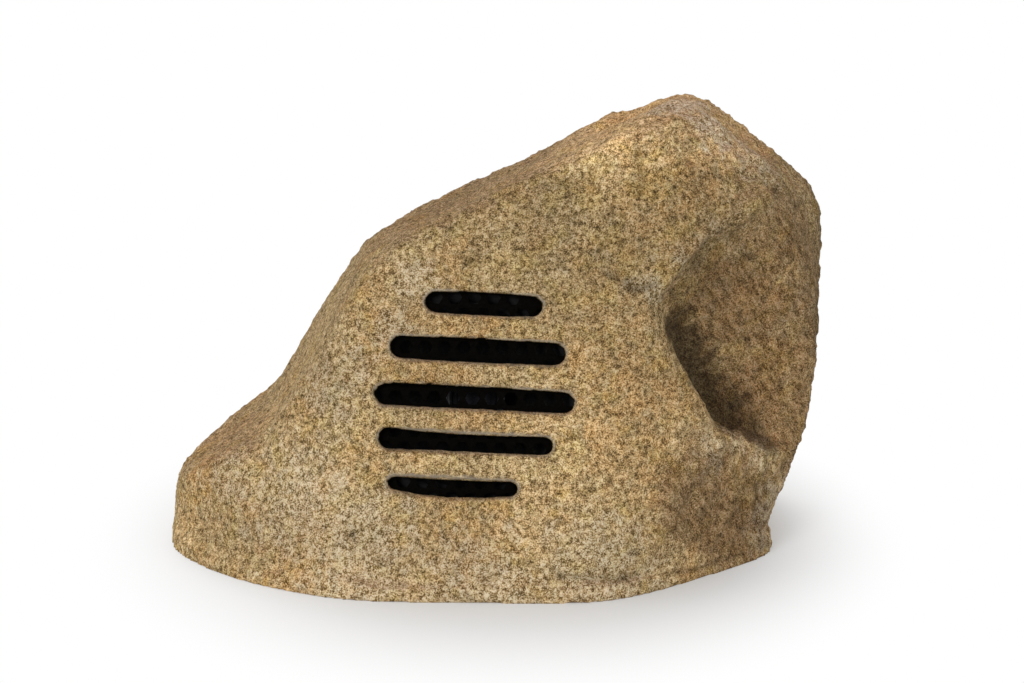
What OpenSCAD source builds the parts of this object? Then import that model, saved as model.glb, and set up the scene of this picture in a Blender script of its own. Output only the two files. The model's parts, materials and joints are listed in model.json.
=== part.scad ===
// Garden rock loudspeaker: a hollow cast rock with five sound slots in its leaning front.
// A coaxial two-way driver hangs behind the slots, and a screwed plate closes the bottom.
// Frame: +Z up, the slots face -Y, and the origin is under the middle of the rock, on the ground.

/* [Rock] */
// Overall width of the rock
rock_w = 520; // [510:5:600]
// Overall depth of the rock
rock_d = 386; // [380:5:460]
// Overall height of the rock
rock_h = 354; // [346:5:420]
// Thickness of the cast wall
wall = 9; // [7.5:0.5:10]
// Height of the low waves in the rough surface
lump_h = 2.2; // [0:0.2:3]
// Width of the foot rim that stands on the ground
rim_w = 12; // [10:0.5:14]

/* [Slots] */
// Sideways place of the slot pattern, from the middle of the rock
slots_x = -19; // [-22:1:-12]
// Height of the middle slot above the ground
slots_z = 147; // [144:1:156]
// Width that the slots are flared by at the rock's face
slot_flare = 2.5; // [1:0.5:4]
// Lean of the slot pattern, down to the right
slot_lean = 1.8; // [0:0.2:4]

/* [Driver seat] */
// Depth of the driver's seat behind the rock's face
seat_depth = 20; // [20:0.5:24]
// Radius of the opening in the cast seat ring
seat_bore_r = 92.5; // [91:0.5:93]
// Outer radius of the cast seat ring
seat_r = 107; // [105:0.5:109]
// Radius of the circle of driver screws
driver_bolt_r = 98; // [97.5:0.1:98.2]
// Number of driver screws
driver_screw_n = 8; // [6:1:12]

/* [Woofer] */
// Outer radius of the basket's flange
basket_r = 101.5; // [101:0.5:103]
// Thickness of the basket's pressed steel
basket_t = 1.5; // [1:0.1:2]
// Depth from the flange to the spider's ledge
spider_depth = 46; // [44:1:50]
// Depth from the flange to the basket's floor
floor_depth = 60; // [58:1:66]
// Outer radius of the cone
cone_r = 73; // [70:0.5:75]
// Radius of the voice coil former, inside
former_r = 18.9; // [17:0.1:20]
// Travel of the cone each way
cone_travel = 4; // [2:0.5:5]
// Outer radius of the ring magnet
magnet_r = 57; // [52:1:64]
// Thickness of the ring magnet
magnet_t = 16; // [12:1:20]
// Thickness of the top plate and of the back plate
plate_t = 6; // [5:0.5:8]

/* [Tweeter] */
// Outer radius of the tweeter's housing
tweeter_r = 23; // [22.5:0.5:26]
// Length of the tweeter's housing
tweeter_len = 18; // [17:0.5:20]
// Radius of the dome
dome_r = 12.9; // [12.5:0.1:13]
// Radius of the post that carries the tweeter
post_r = 4.6; // [4:0.1:6]

/* [Base] */
// Height of the base plate's underside above the ground
plate_lift = 5; // [4.5:0.5:7]
// Thickness of the base plate
base_t = 6; // [5:0.5:8]
// Thickness of the base gasket
base_gasket_t = 2; // [1:0.5:3]
// Thickness of the cast flange that the base plate is screwed to
flange_t = 8; // [7:0.5:10]
// Width of the cast flange
flange_w = 18; // [16:0.5:22]
// Number of base screws
base_screw_n = 10; // [6:1:14]

/* [Crossover] */
// Length of the circuit board
board_w = 120; // [115:1:140]
// Width of the circuit board
board_d = 84; // [82:1:100]
// Height of the standoffs under the board
standoff_h = 8; // [6:0.5:12]

/* [Cable gland] */
// Sideways place of the gland in the back
gland_x = 70; // [50:5:90]
// Height of the gland above the ground
gland_z = 46; // [46:1:60]
// Depth of the recess that the gland sits in
gland_recess = 14; // [12:1:16]
// Radius of the bore that the cable would pass through
cable_r = 3.6; // [3:0.1:4]

/* [Hidden] */
$fn = 96;

// Running gap between pieces that are glued or pushed together
gap = 0.1;
// Gap between a soft or loose piece and its seat
loose = 0.3;

// The rock is a star-shaped form round the middle of its foot: in each direction its skin lies
// where the flat facets allow. A facet is [azimuth, elevation, distance from the middle], with
// azimuth 0 towards the front and 90 to the right.
front_facet = [-4, 15, 183];
back_facet = [180, 12, 186];
body_facets = [
    front_facet, [-35, 14, 214], [-51, 12, 234], [-90, 32, 206], [-80, 22, 222],
    [-103, 64, 249], [90, 54, 371], [40, 36, 322], [70, 10, 284], [90, -6.5, 236],
    [90, -28, 181], [43, -3, 203], [24, 6, 201], back_facet, [140, 8, 225],
    [-140, 12, 225], [180, 50, 300]];
// The hollow in the right flank, cut where all four of its planes agree
scoop_facets = [[102.3, 28.2, 176.8], [16.2, -10.3, 94.7], [45, -20.8, 88.8], [101, 72.2, 146.2]];
// The low shoulder on the left
shoulder_facets = [
    [-95, 62, 169], [-90, 0, 258], [-51, 6, 238], [-25, 12, 196], [-120, 4, 240],
    [-160, 20, 190], [-4, 15, 178], [60, 30, 110], [180, 12, 165], [90, 40, 130]];
// The foot rim, as the upright sides of its plan and a flat top
foot_top = 14;
foot_facets = [
    [0, 0, 190], [-51, 0, 238], [-90, 0, 248], [-130, 0, 238], [180, 0, 190], [140, 0, 230],
    [90, 0, 220], [43, 0, 202], [22, 0, 208], [-25, 0, 214],
    [0, 90, foot_top], [-30, 78, 55], [43, 78, 55], [90, 78, 58]];
// The knob at the top
crown_facets = [
    [-90, 57, 218], [90, 49, 373], [0, 88, 360], [0, 45, 270], [180, 55, 312], [0, 5, 60],
    [60, 20, 165], [90, 0, 150], [-90, 10, 60], [180, 5, 100]];
lobes = [shoulder_facets, foot_facets, crown_facets];
// How crisp the edges, the crease of the hollow, its lip and the joins of the lobes are
edge_crisp = 40;
crease_crisp = 26;
lip_crisp = 36;
join_crisp = 40;

function dir(azimuth, elevation) = [
    sin(azimuth) * cos(elevation), -cos(azimuth) * cos(elevation), sin(elevation)];
function over(v, s) = [v.x / s.x, v.y / s.y, v.z / s.z];
function ones(list) = [for (x = list) 1];
// The wall is cast this many times as thick behind the hollow, to back its crease
backing = 1.6;
function rows(facets, inset, s) = [
    for (f = facets)
        let (n = dir(f[0], f[1]))
            n / (f[2] - inset * norm(over(n, s)))];
function skin(inset, s) = [
    rows(body_facets, inset, s), rows(scoop_facets, inset * backing, s), [for (l = lobes) rows(l, inset, s)]];
function solid_sum(m, d) = [for (x = m * d) pow(max(x, 0), edge_crisp)] * ones(m);
function hollow_sum(m, d) = [for (x = m * d) pow(max(x, 1e-6), -crease_crisp)] * ones(m);
function radius(k, d) =
    let (
        scoop = pow(hollow_sum(k[1], d), -lip_crisp / crease_crisp),
        body = pow(pow(solid_sum(k[0], d), lip_crisp / edge_crisp) + scoop, -join_crisp / lip_crisp),
        parts = concat([body], [for (m = k[2]) pow(solid_sum(m, d), -join_crisp / edge_crisp)]))
            pow(parts * ones(parts), 1 / join_crisp);

// The skin is measured once at its drawn size, and then stretched to the overall sizes
// The rings are closer near the foot, and their points are closer round the hollow
around_n = 120;
upward_n = 38;
dense_at = 55;
function rise(t) = 90 * pow(t, 1.2);
function turn(t) = 360 * t - 24 * sin(360 * t - dense_at);
plain = [1, 1, 1];
raw_skin = skin(0, plain);
raw_rings = [
    for (j = [0:upward_n - 1]) [
        for (i = [0:around_n - 1])
            let (d = dir(turn(i / around_n), rise(j / upward_n)))
                d * (radius(raw_skin, d) + waves(d))]];
raw_x = [for (ring = raw_rings) for (p = ring) p.x];
raw_y = [for (ring = raw_rings) for (p = ring) p.y];
raw_z = [for (ring = raw_rings) for (p = ring) p.z];
raw_size = [max(raw_x) - min(raw_x), max(raw_y) - min(raw_y), max(raw_z)];
stretch = [rock_w / raw_size.x, rock_d / raw_size.y, rock_h / raw_size.z];
shift = [
    -(max(raw_x) + min(raw_x)) / 2 * stretch.x, -(max(raw_y) + min(raw_y)) / 2 * stretch.y, 0];
function place(p) = [
    p.x * stretch.x + shift.x, p.y * stretch.y + shift.y, p.z * stretch.z];

// Low waves in the cast surface, which fade out round the slots and at the foot
function smooth(t) = let (c = min(max(t, 0), 1)) c * c * (3 - 2 * c);
function waves(d) =
    let (
        away = smooth((cos(24) - d * dir(-8, 36)) / 0.16),
        above = smooth(d.z / 0.2))
            lump_h * away * above * (
                sin(410 * d.x + 330 * d.z + 30) * sin(370 * d.y - 290 * d.z)
                + 0.5 * sin(730 * d.y + 260 * d.x) * sin(640 * d.z - 350 * d.x + 70));

// A facet after the stretch: its normal, and its distance from the origin
function real_normal(f) = let (n = over(dir(f[0], f[1]), stretch)) n / norm(n);
function real_distance(f) =
    f[2] / norm(over(dir(f[0], f[1]), stretch)) + real_normal(f) * shift;
function y_on(f, x, z) =
    let (n = real_normal(f)) (real_distance(f) - n.x * x - n.z * z) / n.y;

// The frame of the front face: x to the right, y up along the face, z out of the rock
front_n = real_normal(front_facet);
front_az = atan2(front_n.x, -front_n.y);
front_el = asin(front_n.z);
front_at = [slots_x, y_on(front_facet, slots_x, slots_z), slots_z];
front_right = [cos(front_az), sin(front_az), 0];
front_up = cross(front_n, front_right);
module on_front(depth = 0) {
    translate(front_at) rotate([90 - front_el, 0, front_az]) translate([0, 0, -depth]) children();
}
function front_point(p) = front_at + p.x * front_right + p.y * front_up + p.z * front_n;

// Depths of the pieces behind the front face
screen_floor = wall + 1;
screen_t = 1;
driver_gasket_t = 2.5;
driver_depth = seat_depth + driver_gasket_t;
// Room round the driver's flange, and behind it for the heads of its screws
seat_clear = 1;
seat_room = 8;

module ring(r_out, r_in, z_low, z_high) {
    translate([0, 0, z_low]) difference() {
        cylinder(r = r_out, h = z_high - z_low);
        translate([0, 0, -1]) cylinder(r = r_in, h = z_high - z_low + 2);
    }
}
module around(n, r, first = 0) {
    for (i = [0:n - 1]) rotate(first + 360 * i / n) translate([r, 0, 0]) children();
}

// A closed form from rings of points, the lowest first, ending in one point or in a flat ring
module lofted(rings, top = undef) {
    n = len(rings[0]);
    m = len(rings);
    peak = is_undef(top) ? [] : [top];
    points = concat([for (r = rings) each r], peak);
    foot = [[for (i = [0:n - 1]) i]];
    sides = [
        for (j = [0:m - 2]) for (i = [0:n - 1])
            let (
                a = j * n + i,
                b = j * n + (i + 1) % n,
                rising = norm(points[a] - points[b + n]) < norm(points[b] - points[a + n]),
                pair = rising ? [[a, a + n, b + n], [a, b + n, b]] : [[a, a + n, b], [b, a + n, b + n]])
                    each pair];
    head = is_undef(top)
        ? [[for (i = [n - 1:-1:0]) (m - 1) * n + i]]
        : [for (i = [0:n - 1]) [(m - 1) * n + i, m * n, (m - 1) * n + (i + 1) % n]];
    polyhedron(points, concat(foot, sides, head));
}

// A round tube along a curve from one end to the other, which leaves each end along its lead
function bezier(a, b, c, d, t) =
    pow(1 - t, 3) * a + 3 * t * pow(1 - t, 2) * b + 3 * t * t * (1 - t) * c + pow(t, 3) * d;
function unit(v) = v / norm(v);
module lead(from, from_lead, to, to_lead, r) {
    steps = 14;
    sides = 8;
    function at(t) = bezier(from, from + from_lead, to + to_lead, to, t);
    function along(t) =
        t < 0.001 ? unit(from_lead) : t > 0.999 ? unit(-to_lead) : unit(at(t + 0.001) - at(t - 0.001));
    side = unit(cross(along(0), along(1)) + [0, 0.01, 0.001]);
    rings = [
        for (k = [0:steps])
            let (
                t = k / steps,
                w = along(t),
                u = unit(side - (side * w) * w),
                v = cross(w, u))
                    [for (i = [0:sides - 1]) at(t) + r * (cos(360 * i / sides) * u
                        + sin(360 * i / sides) * v)]];
    lofted(rings);
}

// The inside of the rock, which starts at the top of the cast flange
flange_low = plate_lift + base_t + base_gasket_t;
flange_high = flange_low + flange_t;
inside_around_n = 52;
inside_upward_n = 15;
inside_skin = skin(wall, stretch);
function low_angle(k, azimuth, z, guess, turns) =
    turns == 0 ? guess
        : low_angle(k, azimuth, z, asin(z / radius(k, dir(azimuth, guess))), turns - 1);
function foot_outline(inset) =
    let (k = skin(inset, stretch))
        [for (i = [0:71]) let (d = dir(5 * i, 0), p = place(d * radius(k, d))) [p.x, p.y]];

module rock_form() {
    rings = [for (r = raw_rings) [for (p = r) place(p)]];
    lofted(rings, place([0, 0, radius(raw_skin, [0, 0, 1])]));
}

module rock_inside() {
    low_z = flange_high / stretch.z;
    rings = [
        for (j = [0:inside_upward_n - 1]) [
            for (i = [0:inside_around_n - 1])
                let (
                    azimuth = 360 * i / inside_around_n,
                    low = low_angle(inside_skin, azimuth, low_z, 5, 5),
                    d = dir(azimuth, low + (90 - low) * j / inside_upward_n),
                    p = place(d * radius(inside_skin, d)))
                        [p.x, p.y, j == 0 ? flange_high : p.z]]];
    lofted(rings, place([0, 0, radius(inside_skin, [0, 0, 1])]));
}

module foot_prism(inset, z_low, z_high) {
    translate([0, 0, z_low]) linear_extrude(z_high - z_low) polygon(foot_outline(inset));
}

// Each slot: [x, y, length, height at the left, middle and right, bow of the middle]
slots = [
    [5.6, 71, 88, 14, 15.5, 14, 0],
    [2.8, 36, 132, 15, 16.5, 15, 0],
    [2, 0, 150, 14.5, 15.5, 14.5, 0.4],
    [-3, -33, 131, 15, 11.5, 12.5, -0.8],
    [-11, -66.5, 98, 9, 12, 10, -2]];

// The outline of a slot, widened all round by grow, at height z of the front frame
function slot_ring(s, grow, z) =
    let (
        left_r = s[3] / 2,
        right_r = s[5] / 2,
        left_x = -s[2] / 2 + left_r,
        right_x = s[2] / 2 - right_r,
        outline = concat(
            [for (a = [-90:30:90]) [right_x, 0] + (right_r + grow) * [cos(a), sin(a)]],
            [for (t = [0.75:-0.25:0.25]) slot_edge(s, grow, t, 1)],
            [for (a = [90:30:270]) [left_x, 0] + (left_r + grow) * [cos(a), sin(a)]],
            [for (t = [0.25:0.25:0.75]) slot_edge(s, grow, t, -1)]))
                [for (p = outline) [s[0] + p.x, s[1] + p.y, z]];
function slot_edge(s, grow, t, up) =
    let (
        hump = 4 * t * (1 - t),
        ends = s[3] * (1 - t) + s[5] * t,
        half = (ends * (1 - hump) + s[4] * hump) / 2 + grow)
            [-s[2] / 2 + s[3] / 2 + t * (s[2] - (s[3] + s[5]) / 2), up * half + s[6] * hump];

// The cutter of one slot, flared where it meets the rock's face
module slot_cutter(s) {
    lofted([
        slot_ring(s, 0, -wall - 5),
        slot_ring(s, 0, -slot_flare - 2),
        slot_ring(s, slot_flare * 0.35, -slot_flare * 0.7),
        slot_ring(s, slot_flare, 0.6),
        slot_ring(s, slot_flare * 2.4, 14)]);
}

// Screws and inserts of the driver
driver_insert_r = 2.6;
driver_insert_len = 8;
driver_screw_r = 1.9;
driver_hole_r = 2.2;
module at_driver_screws() {
    around(driver_screw_n, driver_bolt_r, 180 / driver_screw_n) children();
}

// Screws and inserts of the base
base_insert_r = 3.2;
base_screw_r = 2.4;
base_hole_r = 2.8;
base_clear = 0.6;
function base_screw_at(i) =
    let (
        k = skin(rim_w + flange_w / 2, stretch),
        d = dir(360 * (i + 0.5) / base_screw_n, 0),
        p = place(d * radius(k, d)))
            [p.x, p.y, 0];
module at_base_screws() {
    for (i = [0:base_screw_n - 1]) translate(base_screw_at(i)) children();
}

// The gland sits square to the back in a round recess with a flat floor
gland_seat_y = y_on(back_facet, gland_x, gland_z) - gland_recess;
gland_wall = 9;
gland_recess_r = 18;
gland_thread_r = 7.9;
module on_gland() {
    translate([gland_x, gland_seat_y, gland_z]) rotate([-90, 0, 0]) children();
}

module rock_shell() {
    color("tan") difference() {
        union() {
            difference() {
                rock_form();
                rock_inside();
                foot_prism(rim_w, -1, flange_low);
                foot_prism(rim_w + flange_w, -1, flange_high + 5);
            }
            on_front(driver_depth) ring(seat_r, seat_bore_r, 0, driver_depth - wall + 2);
            on_gland() translate([0, 0, -gland_wall])
                cylinder(r = gland_recess_r + wall, h = gland_wall + gland_recess - 4);
        }
        on_front() {
            translate([0, 0, -driver_depth - 1])
                cylinder(r = seat_bore_r, h = driver_depth + 1 - screen_floor);
            translate([0, 0, -driver_depth - seat_room])
                cylinder(r = basket_r + seat_clear, h = driver_gasket_t + seat_room);
            rotate(-slot_lean) for (s = slots) slot_cutter(s);
            at_driver_screws() translate([0, 0, -seat_depth - 1])
                cylinder(r = driver_insert_r, h = driver_insert_len + 1.5);
        }
        at_base_screws() translate([0, 0, flange_low - 1])
            cylinder(r = base_insert_r, h = flange_t + 2);
        on_gland() {
            cylinder(r = gland_recess_r, h = gland_recess + 12);
            translate([0, 0, -gland_wall - 1]) cylinder(r = gland_thread_r + 0.2, h = gland_wall + 2);
        }
    }
}

// Pressed screen behind the slots, with a turned rim that the driver's gasket holds
screen_hole_r = 5.6;
screen_pitch = 14.6;
module grille_screen() {
    screen_r = seat_bore_r - loose;
    rim_h = seat_depth - screen_floor - 2 * loose;
    rows_n = floor(screen_r / screen_pitch);
    color("dimgray") on_front(screen_floor + loose) {
        difference() {
            translate([0, 0, -screen_t]) cylinder(r = screen_r, h = screen_t);
            for (j = [-rows_n:rows_n]) for (i = [-rows_n:rows_n]) {
                x = (i + (j % 2 == 0 ? 0 : 0.5)) * screen_pitch;
                y = j * screen_pitch * sin(60);
                if (norm([x, y]) < screen_r - screen_hole_r - 3)
                    translate([x, y, -screen_t - 1])
                        cylinder(r = screen_hole_r, h = screen_t + 2, $fn = 6);
            }
        }
        ring(screen_r, screen_r - screen_t, -rim_h, -screen_t);
    }
}

module driver_inserts() {
    color("goldenrod") on_front(seat_depth) at_driver_screws()
        ring(driver_insert_r - gap, driver_screw_r + gap, 0, driver_insert_len);
}

gasket_lap = 2;
module driver_gasket() {
    color("black") on_front(driver_depth) difference() {
        ring(basket_r, seat_bore_r - gasket_lap, 0, driver_gasket_t);
        at_driver_screws() translate([0, 0, -1]) cylinder(r = driver_hole_r, h = driver_gasket_t + 2);
    }
}

module driver_screws() {
    head_h = 2.6;
    color("dimgray") on_front(driver_depth + basket_t) at_driver_screws() difference() {
        union() {
            translate([0, 0, -head_h]) cylinder(r1 = 2.6, r2 = 3.3, h = head_h, $fn = 32);
            cylinder(r = driver_screw_r, h = basket_t + driver_gasket_t + driver_insert_len - 1);
        }
        for (a = [0, 90]) rotate(a) translate([-2, -0.4, -head_h - 1]) cube([4, 0.8, 2.4]);
    }
}

// Woofer: all its pieces are measured down from the front face of the flange
landing_r = 90.5;
landing_in_r = 86.5;
landing_depth = 3;
spider_r = 59.5;
ledge_in_r = 51;
basket_hole_r = 24;
module on_driver() {
    on_front(driver_depth) children();
}

module basket() {
    t = basket_t;
    windows = 6;
    section = [
        [basket_r, 0], [landing_r, 0], [landing_r, -landing_depth], [landing_in_r, -landing_depth],
        [spider_r + 0.5, -spider_depth], [ledge_in_r, -spider_depth], [ledge_in_r, -floor_depth],
        [basket_hole_r, -floor_depth], [basket_hole_r, -floor_depth - t],
        [ledge_in_r + t, -floor_depth - t], [ledge_in_r + t, -spider_depth - t],
        [spider_r + 0.5 + t, -spider_depth - t], [landing_in_r + t, -landing_depth - t],
        [landing_r + t, -landing_depth - t], [landing_r + t, -t], [basket_r, -t]];
    opening = [
        [spider_r - 4, -spider_depth + 6], [landing_r + 8, -spider_depth + 6],
        [landing_r + 8, -landing_depth - 7], [spider_r - 4, -landing_depth - 7]];
    color("darkslategray") on_driver() difference() {
        rotate_extrude() polygon(section);
        for (i = [0:windows - 1]) rotate(i * 360 / windows - 20)
            rotate_extrude(angle = 40) polygon(opening);
        at_driver_screws() translate([0, 0, -t - 1]) cylinder(r = driver_hole_r, h = t + 2);
    }
}

// Rubber half roll between the cone and the basket
surround_t = 0.8;
module surround() {
    roll_r = (landing_in_r - cone_r) / 2;
    color("black") on_driver() translate([0, 0, -landing_depth]) rotate_extrude() {
        translate([cone_r + roll_r, 0]) intersection() {
            difference() {
                circle(r = roll_r + surround_t / 2);
                circle(r = roll_r - surround_t / 2);
            }
            translate([-roll_r - 1, 0]) square([2 * roll_r + 2, roll_r + 1]);
        }
        translate([landing_in_r - surround_t / 2, 0])
            square([landing_r - gap - landing_in_r + surround_t / 2, surround_t]);
        translate([cone_r - 4, 0]) square([4 + surround_t / 2, surround_t]);
    }
}

former_t = 0.4;
coil_t = 0.7;
neck_depth = 37;
module cone() {
    t = 0.9;
    neck_r = former_r + former_t + gap;
    section = [
        [cone_r, 0], [cone_r - 4, 0], [neck_r + 1.2, landing_depth - neck_depth],
        [neck_r, landing_depth - neck_depth], [neck_r, landing_depth - neck_depth - t - 0.3],
        [neck_r + 1.7, landing_depth - neck_depth - t - 0.3], [cone_r - 3.6, -t], [cone_r, -t]];
    color("dimgray") on_driver() translate([0, 0, -landing_depth]) rotate_extrude() polygon(section);
}

// Corrugated cloth disc that centres the coil
module spider() {
    t = 0.6;
    neck_r = former_r + former_t + gap;
    flat_w = spider_r - ledge_in_r + 0.6;
    wave_n = 4;
    wave_h = 1.5;
    steps = 32;
    span = spider_r - flat_w - neck_r;
    function wave(k) = wave_h * sin(360 * wave_n * k / steps) * min(1, 4 * k / steps);
    crest = [for (k = [0:steps]) [neck_r + span * k / steps, wave(k)]];
    section = concat(
        [for (p = crest) [p.x, p.y + t]], [[spider_r, t], [spider_r, 0]],
        [for (k = [steps:-1:0]) crest[k]]);
    color("khaki") on_driver() translate([0, 0, -spider_depth]) rotate_extrude() polygon(section);
}

top_plate_front = floor_depth + basket_t;
gap_depth = top_plate_front + plate_t / 2;
coil_len = 14;
module voice_coil_former() {
    color("peru") on_driver() ring(
        former_r + former_t, former_r, -gap_depth - coil_len / 2 - 1, -neck_depth + 1);
}

module voice_coil() {
    r = former_r + former_t + gap;
    color("chocolate") on_driver() translate([0, 0, -gap_depth])
        ring(r + coil_t, r, -coil_len / 2, coil_len / 2);
}

magnet_gap = 0.8;
module top_plate() {
    r = former_r + former_t + gap + coil_t + magnet_gap;
    color("silver") on_driver() ring(ledge_in_r - 3, r, -top_plate_front - plate_t, -top_plate_front);
}

module ring_magnet() {
    front = top_plate_front + plate_t;
    color("dimgray") on_driver() ring(magnet_r, magnet_r / 2, -front - magnet_t, -front);
}

back_front = top_plate_front + plate_t + magnet_t;
module yoke() {
    plate_r = ledge_in_r - 1;
    color("silver") on_driver() difference() {
        union() {
            translate([0, 0, -back_front - plate_t])
                cylinder(r1 = plate_r - 2, r2 = plate_r, h = 2);
            translate([0, 0, -back_front - plate_t + 2]) cylinder(r = plate_r, h = plate_t - 2);
            translate([0, 0, -back_front - 1])
                cylinder(r = former_r - 0.6, h = back_front + 1 - top_plate_front);
        }
        translate([0, 0, -back_front - plate_t - 1])
            cylinder(r = post_r + gap, h = magnet_t + 2 * plate_t + 2);
    }
}

// Tag board under the spider's ledge, at the window on the right
strip_out = 78;
strip_w = 18;
strip_t = 1.6;
strip_depth = spider_depth + basket_t;
module terminal_strip() {
    strip_in = ledge_in_r + basket_t + gap;
    color("saddlebrown") on_driver() translate([strip_in, -strip_w / 2, -strip_depth - strip_t])
        cube([strip_out - strip_in, strip_w, strip_t]);
}

tag_t = 0.8;
tag_len = 9;
tag_y = 5;
module terminal_tags() {
    color("gold") on_driver() for (side = [-1, 1])
        translate([strip_out - tag_len, side * tag_y - 2, -strip_depth]) cube([tag_len + 4, 4, tag_t]);
}

// Two braided leads from the tags to the back of the cone
module tinsel_leads() {
    tag = [strip_out + 2, tag_y, -strip_depth + tag_t + loose];
    slope = (neck_depth - landing_depth) / (cone_r - 4 - former_r);
    cone_x = 44;
    cone_z = -landing_depth - (cone_r - 4 - cone_x) * slope - 1.9;
    color("orange") on_driver() for (side = [-1, 1])
        lead([tag.x, side * tag.y, tag.z], [0, 0, 9], [cone_x, side * 8, cone_z], [0, 0, -9], 0.8);
}

// Tweeter: carried in the middle of the cone by a post through the pole
tweeter_front = 8;
tweeter_back = tweeter_front + tweeter_len;
tweeter_floor_t = 3;
pot_r = 17;
pot_in_r = 13.6;
pot_floor_t = 2.5;
pot_back = tweeter_back - tweeter_floor_t;
lip_depth = 11.9;
pot_front = lip_depth + 0.6;
tweeter_plate_t = 2;
post_end = back_front + plate_t + 8;
module tweeter_post() {
    color("silver") on_driver() ring(post_r, post_r - 1.9, -post_end, -pot_back);
}

module post_nut() {
    nut_r = 8;
    nut_h = 5;
    color("silver") on_driver() translate([0, 0, -back_front - plate_t - nut_h]) difference() {
        cylinder(r = nut_r, h = nut_h, $fn = 6);
        translate([0, 0, -1]) cylinder(r = post_r + gap, h = nut_h + 2);
    }
}

housing_t = 1.8;
module tweeter_housing() {
    lip_r = tweeter_r - housing_t;
    color("black") on_driver() difference() {
        union() {
            translate([0, 0, -tweeter_back]) cylinder(r1 = tweeter_r - 4, r2 = tweeter_r, h = 5);
            translate([0, 0, -tweeter_back + 5]) cylinder(r = tweeter_r, h = tweeter_len - 5);
        }
        translate([0, 0, -tweeter_back - 1]) cylinder(r = post_r + gap, h = tweeter_len);
        translate([0, 0, -pot_back]) cylinder(r = pot_r + 0.2, h = tweeter_len);
        translate([0, 0, -lip_depth]) cylinder(r = lip_r, h = tweeter_len);
    }
}

module tweeter_pot() {
    color("silver") on_driver() difference() {
        translate([0, 0, -pot_back]) cylinder(r = pot_r, h = pot_back - pot_front);
        translate([0, 0, -pot_back + pot_floor_t]) cylinder(r = pot_in_r, h = tweeter_len);
    }
}

module tweeter_magnet() {
    color("gray") on_driver() translate([0, 0, -pot_back + pot_floor_t])
        cylinder(r = 11, h = pot_back - pot_floor_t - pot_front - tweeter_plate_t);
}

module tweeter_plate() {
    color("silver") on_driver() translate([0, 0, -pot_front - tweeter_plate_t])
        cylinder(r = dome_r - 0.8, h = tweeter_plate_t);
}

module tweeter_coil() {
    coil_h = 4;
    color("chocolate") on_driver()
        ring(dome_r + 0.2, dome_r - 0.35, -lip_depth - coil_h + gap, -lip_depth - gap);
}

// Soft dome with its own small half roll and its glued lip
module tweeter_dome() {
    t = 0.4;
    dome_h = 4;
    sphere_r = (dome_r * dome_r + dome_h * dome_h) / (2 * dome_h);
    roll_r = 1.7;
    steps = 10;
    half = asin(dome_r / sphere_r);
    function cap(r) = [
        for (k = [0:steps]) [r * sin(half * k / steps), r * cos(half * k / steps) - sphere_r + dome_h]];
    roll = [for (a = [180:-30:0]) [cos(a), sin(a)]];
    mid = dome_r + 0.2 + roll_r;
    lip_out = pot_r + 3;
    section = concat(
        [for (p = cap(sphere_r + t)) p],
        [for (p = roll) [mid + (roll_r + t / 2) * p.x + t / 2, t + roll_r * p.y]],
        [[lip_out, t], [lip_out, 0]],
        [for (k = [6:-1:0]) [mid + (roll_r - t / 2) * roll[k].x + t / 2, roll_r * roll[k].y]],
        [for (k = [steps:-1:0]) cap(sphere_r)[k]]);
    color("silver") on_driver() translate([0, 0, -lip_depth]) rotate_extrude() polygon(section);
}

module tweeter_faceplate() {
    lip_top = -lip_depth + 0.4;
    outer = tweeter_r - housing_t - gap;
    throat = dome_r + 4.1;
    edge = 0.5;
    section = [
        [throat, lip_top], [outer, lip_top], [outer, -tweeter_front],
        [outer - 0.8, -tweeter_front + edge], [throat + 2, -tweeter_front + edge],
        [throat + 0.6, -tweeter_front - 2 * edge]];
    color("black") on_driver() rotate_extrude() polygon(section);
}

// Wadding glued to the inside of the back wall
pad_size = [146, 118, 24];
pad_clear = 0.5;
pad_z = 150;
module damping_pad() {
    n = real_normal(back_facet);
    lean = asin(n.z);
    x = 8;
    color("white") translate([x, y_on(back_facet, x, pad_z), pad_z]) rotate([-90 + lean, 0, 0])
        translate([0, 0, -wall - pad_clear - pad_size.z]) linear_extrude(pad_size.z)
            square([pad_size.x, pad_size.y], center = true);
}

drain_r = 4;
drain_at = [[-120, -60], [110, -60], [-120, 70]];
module base_plate() {
    color("dimgray") difference() {
        foot_prism(rim_w + base_clear, plate_lift, plate_lift + base_t);
        at_base_screws() translate([0, 0, plate_lift - 1]) cylinder(r = base_hole_r, h = base_t + 2);
        for (p = drain_at) translate([p.x, p.y, plate_lift - 1]) cylinder(r = drain_r, h = base_t + 2);
        at_standoffs() translate([0, 0, plate_lift - 1]) cylinder(r = standoff_hole_r, h = base_t + 2);
    }
}

module base_gasket() {
    color("black") difference() {
        foot_prism(rim_w + base_clear, plate_lift + base_t, flange_low);
        foot_prism(rim_w + flange_w, plate_lift + base_t - 1, flange_low + 1);
        at_base_screws() translate([0, 0, plate_lift + base_t - 1])
            cylinder(r = base_hole_r, h = base_gasket_t + 2);
    }
}

module base_inserts() {
    color("goldenrod") at_base_screws()
        ring(base_insert_r - gap, base_screw_r + gap, flange_low, flange_high);
}

module base_screws() {
    head_h = 3;
    color("silver") at_base_screws() difference() {
        union() {
            translate([0, 0, plate_lift - head_h]) cylinder(r1 = 3.6, r2 = 4.6, h = head_h, $fn = 32);
            translate([0, 0, plate_lift])
                cylinder(r = base_screw_r, h = flange_high - plate_lift - 1);
        }
        for (a = [0, 90]) rotate(a) translate([-2.6, -0.5, plate_lift - head_h - 1]) cube([5.2, 1, 2.6]);
    }
}

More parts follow.
